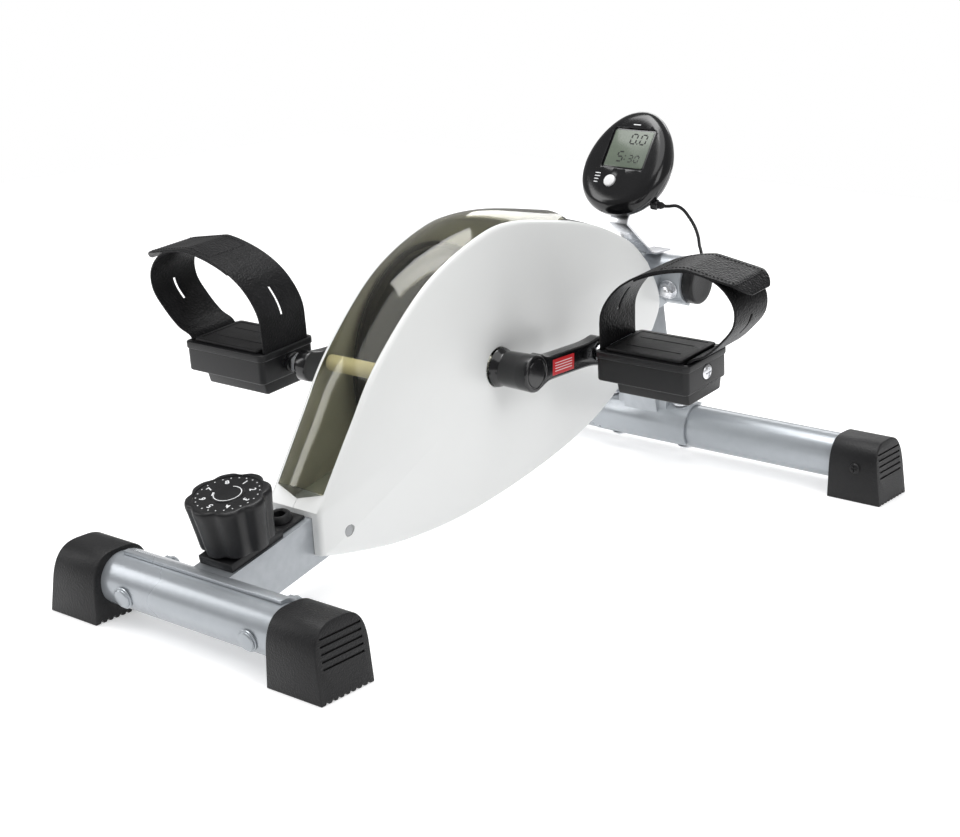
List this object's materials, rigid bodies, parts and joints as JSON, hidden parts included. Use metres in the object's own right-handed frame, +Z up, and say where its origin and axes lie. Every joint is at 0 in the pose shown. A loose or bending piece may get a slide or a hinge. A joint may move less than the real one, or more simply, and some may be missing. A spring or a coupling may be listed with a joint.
{
  "type": "pedal exerciser",
  "caption": "Low pedal exerciser: domed drive housing with a smoked crest window on a sloping spine, foot bars, strapped pedals on cranks, resistance dial and tilted display.",
  "frame": {"origin": "middle of the footprint, on the floor", "axes": "+Z up, +X along the crank axle to the right, +Y from the short foot bar by the user to the long foot bar"},
  "size_m": [0.477, 0.61, 0.3069],
  "materials": {
    "silver_paint": "fine metallic satin",
    "cap_black": "grained, matte",
    "bright_steel": "zinc plated",
    "shell_white": "satin moulded",
    "plug_grey": "matte",
    "smoked_clear": "clear smoked gloss",
    "plastic_black": "satin moulded",
    "gloss_black": "gloss",
    "cream_plastic": "matte",
    "rubber_black": "matte",
    "strap_black": "grained synthetic leather",
    "dark_steel": "machined dark",
    "lens_grey": "reflective display glass",
    "button_white": "satin",
    "board_green": "solder mask"
  },
  "bodies": {
    "frame": {"front_foot_bar": "silver_paint", "front_left_foot_cap": "cap_black", "front_right_foot_cap": "cap_black", "rear_foot_bar": "silver_paint", "rear_left_foot_cap": "cap_black", "rear_left_cap_screw": "bright_steel", "rear_right_foot_cap": "cap_black", "rear_right_cap_screw": "bright_steel", "spine_frame": "silver_paint", "rear_upright": "silver_paint", "front_left_bar_bolt": "bright_steel", "rear_left_bar_bolt": "bright_steel", "handle_left_bolt": "bright_steel", "front_right_bar_bolt": "bright_steel", "rear_right_bar_bolt": "bright_steel", "handle_right_bolt": "bright_steel", "carry_handle": "silver_paint", "handle_left_cap": "cap_black", "handle_right_cap": "cap_black", "left_shell": "shell_white", "left_screw_plug": "plug_grey", "right_shell": "shell_white", "right_screw_plug": "plug_grey", "smoked_window": "smoked_clear", "rear_trim": "plastic_black", "shell_spacer": "cream_plastic", "bottom_bracket": "silver_paint", "left_crank_bearing": "bright_steel", "right_crank_bearing": "bright_steel", "drive_belt": "rubber_black", "flywheel_bracket": "silver_paint", "knob_base": "plastic_black", "wire_grommet": "rubber_black", "tension_cable": "rubber_black", "display_front": "gloss_black", "display_lens": "lens_grey", "display_board": "board_green", "display_back": "gloss_black", "display_bracket": "bright_steel", "display_lead": "rubber_black", "lead_plug": "rubber_black"},
    "crankset": {"crank_axle": "bright_steel", "drive_pulley": "plastic_black", "left_crank_arm": "gloss_black", "right_crank_arm": "gloss_black", "left_pedal_spindle": "bright_steel", "right_pedal_spindle": "bright_steel"},
    "left_pedal": {"left_pedal_body": "plastic_black", "left_pedal_pad": "rubber_black", "left_pedal_strap": "strap_black", "left_pedal_screw": "bright_steel"},
    "right_pedal": {"right_pedal_body": "plastic_black", "right_pedal_pad": "rubber_black", "right_pedal_strap": "strap_black", "right_pedal_screw": "bright_steel"},
    "flywheel_unit": {"flywheel": "dark_steel", "flywheel_shaft": "bright_steel"},
    "knob": {"resistance_knob": "plastic_black"},
    "lever": {"magnet_lever": "dark_steel"},
    "button": {"mode_button": "button_white"}
  },
  "joints": [
    {"name": "crank_spin", "type": "hinge", "parent": "frame", "child": "crankset", "pos_m": [0, -0.0095, 0.1436], "axis": [1, 0, 0], "continuous": true},
    {"name": "left_pedal_spin", "type": "hinge", "parent": "crankset", "child": "left_pedal", "pos_m": [-0.13405, -0.0935, 0.1436], "axis": [1, 0, 0], "continuous": true},
    {"name": "right_pedal_spin", "type": "hinge", "parent": "crankset", "child": "right_pedal", "pos_m": [0.13405, 0.0745, 0.1436], "axis": [1, 0, 0], "continuous": true},
    {"name": "flywheel_spin", "type": "hinge", "parent": "frame", "child": "flywheel_unit", "pos_m": [0, 0.124, 0.163], "axis": [1, 0, 0], "continuous": true},
    {"name": "knob_turn", "type": "hinge", "parent": "frame", "child": "knob", "pos_m": [0, -0.2435, 0.05586], "axis": [0, -0.2257, 0.9742], "range_deg": [-150, 150]},
    {"name": "lever_swing", "type": "hinge", "parent": "frame", "child": "lever", "pos_m": [0.0216, 0.092, 0.11212], "axis": [1, 0, 0], "range_deg": [-5, 5]},
    {"name": "button_press", "type": "slide", "parent": "frame", "child": "button", "axis": [0, 0.8261, -0.5635], "range_m": [0, 0.0012], "stiffness_N_per_m": 400, "springref_m": -0.0004}
  ],
  "couplings": [
    {"joint": "flywheel_spin", "follows": "crank_spin", "ratio": 5.8571},
    {"joint": "lever_swing", "follows": "knob_turn", "ratio": 0.033333}
  ]
}
